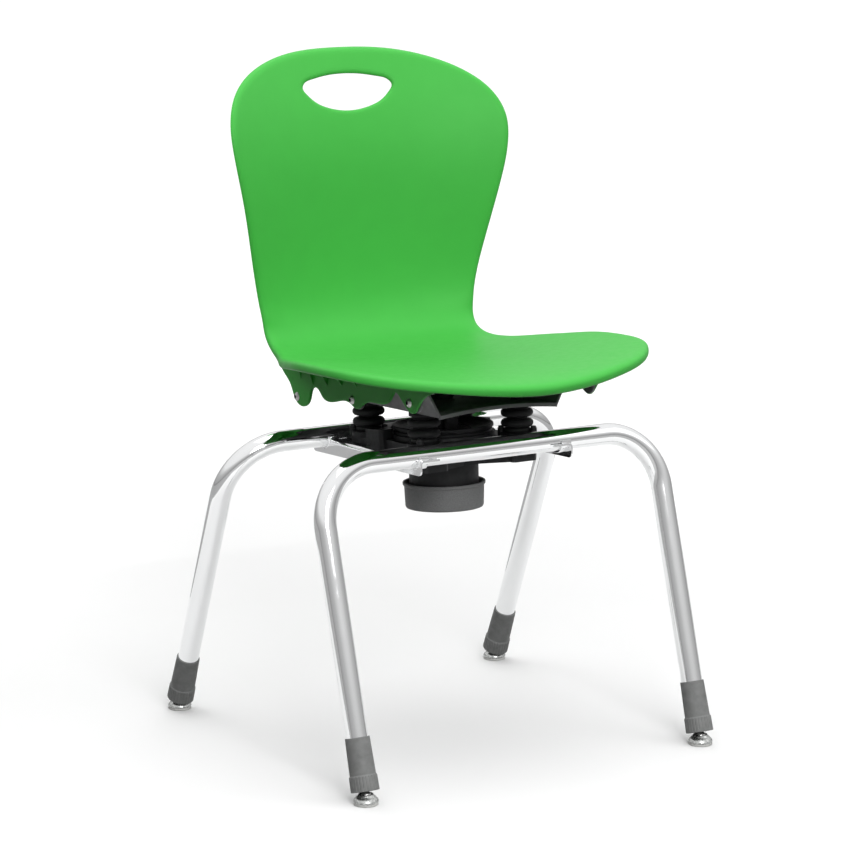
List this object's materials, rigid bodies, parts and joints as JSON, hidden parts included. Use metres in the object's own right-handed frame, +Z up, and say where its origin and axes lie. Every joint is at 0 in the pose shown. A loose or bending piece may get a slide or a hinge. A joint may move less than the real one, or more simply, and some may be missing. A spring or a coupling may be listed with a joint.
{
  "type": "wobble chair",
  "caption": "School chair with a one-piece plastic shell on a sprung gimbal that tilts every way, over two bent chrome tube leg frames with swivel glides and a tension knob.",
  "frame": {"origin": "on the floor under the middle of the chair's outline", "axes": "+Z up, -Y the way the sitter faces, +X to the sitter's left"},
  "size_m": [0.4928, 0.4937, 0.8063],
  "materials": {
    "green_shell": "injection-moulded polypropylene, satin",
    "chrome_tube": "polished chrome plate",
    "bracket_steel": "dark grey powder coat",
    "black_casting": "glass-filled nylon, fine texture",
    "black_rubber": "moulded rubber",
    "grey_plastic": "grey moulded plastic, fine grain",
    "bright_steel": "zinc-plated steel",
    "spring_steel": "oiled spring steel",
    "white_nylon": "natural nylon",
    "brass": "machined brass"
  },
  "bodies": {
    "base": {"front_leg_frame": "chrome_tube", "rear_leg_frame": "chrome_tube", "base_housing": "black_casting", "dust_ring": "black_casting", "lower_yoke": "bright_steel", "canister": "black_casting", "tension_spring": "spring_steel", "draw_bolt": "bright_steel", "draw_cushion": "black_rubber", "left_rail": "chrome_tube", "right_rail": "chrome_tube", "front_saddle": "chrome_tube", "rear_saddle": "chrome_tube", "boss_screws": "bright_steel", "rail_bolts": "bright_steel", "boot_front_right": "grey_plastic", "boot_front_left": "grey_plastic", "boot_rear_right": "grey_plastic", "boot_rear_left": "grey_plastic", "glide_stem_front_right": "bright_steel", "glide_stem_front_left": "bright_steel", "glide_stem_rear_right": "bright_steel", "glide_stem_rear_left": "bright_steel", "bellows_front_right": "black_rubber", "bellows_front_left": "black_rubber", "bellows_rear_right": "black_rubber", "bellows_rear_left": "black_rubber", "corner_spring_front_right": "spring_steel", "corner_spring_front_left": "spring_steel", "corner_spring_rear_right": "spring_steel", "corner_spring_rear_left": "spring_steel"},
    "gimbal": {"gimbal_ring": "bright_steel"},
    "seat": {"seat_shell": "green_shell", "skirt_screws": "bright_steel", "seat_bracket": "bracket_steel", "upper_yoke": "bright_steel", "bellows_studs": "bright_steel", "bellows_nuts": "bright_steel"},
    "spring_carriage": {"spring_seat": "bright_steel", "thrust_washer": "bright_steel"},
    "knob": {"tension_knob": "grey_plastic", "knob_insert": "brass"},
    "glide_front_right": {"glide_dome_front_right": "bright_steel", "glide_pad_front_right": "white_nylon"},
    "glide_front_left": {"glide_dome_front_left": "bright_steel", "glide_pad_front_left": "white_nylon"},
    "glide_rear_right": {"glide_dome_rear_right": "bright_steel", "glide_pad_rear_right": "white_nylon"},
    "glide_rear_left": {"glide_dome_rear_left": "bright_steel", "glide_pad_rear_left": "white_nylon"}
  },
  "joints": [
    {"name": "seat_roll", "type": "hinge", "parent": "base", "child": "gimbal", "pos_m": [0, -0.01439, 0.38951], "axis": [0, 0.9987, -0.0504], "range_deg": [-5, 5], "stiffness_Nm_per_rad": 200, "deforming": ["bellows_front_right", "bellows_front_left", "bellows_rear_right", "bellows_rear_left", "corner_spring_front_right", "corner_spring_front_left", "corner_spring_rear_right", "corner_spring_rear_left", "draw_cushion"]},
    {"name": "seat_pitch", "type": "hinge", "parent": "gimbal", "child": "seat", "pos_m": [0, -0.01439, 0.38951], "axis": [1, 0, 0], "range_deg": [-5, 5], "stiffness_Nm_per_rad": 200},
    {"name": "tension_travel", "type": "slide", "parent": "base", "child": "spring_carriage", "axis": [0, 0.0504, 0.9987], "range_m": [-0.0035, 0.0035], "deforming": ["tension_spring"]},
    {"name": "knob_turn", "type": "hinge", "parent": "spring_carriage", "child": "knob", "pos_m": [0, -0.01943, 0.28964], "axis": [0, 0.0504, 0.9987], "range_deg": [-720, 720]},
    {"name": "glide_tilt_front_right", "type": "hinge", "parent": "base", "child": "glide_front_right", "pos_m": [-0.23, -0.22827, 0.0095], "axis": [1, 0, 0], "range_deg": [-6, 6]},
    {"name": "glide_tilt_front_left", "type": "hinge", "parent": "base", "child": "glide_front_left", "pos_m": [0.23, -0.22827, 0.0095], "axis": [1, 0, 0], "range_deg": [-6, 6]},
    {"name": "glide_tilt_rear_right", "type": "hinge", "parent": "base", "child": "glide_rear_right", "pos_m": [-0.23, 0.23156, 0.0095], "axis": [1, 0, 0], "range_deg": [-6, 6]},
    {"name": "glide_tilt_rear_left", "type": "hinge", "parent": "base", "child": "glide_rear_left", "pos_m": [0.23, 0.23156, 0.0095], "axis": [1, 0, 0], "range_deg": [-6, 6]}
  ],
  "couplings": [
    {"joint": "tension_travel", "follows": "knob_turn", "m_per_rad": 0.00027852}
  ]
}
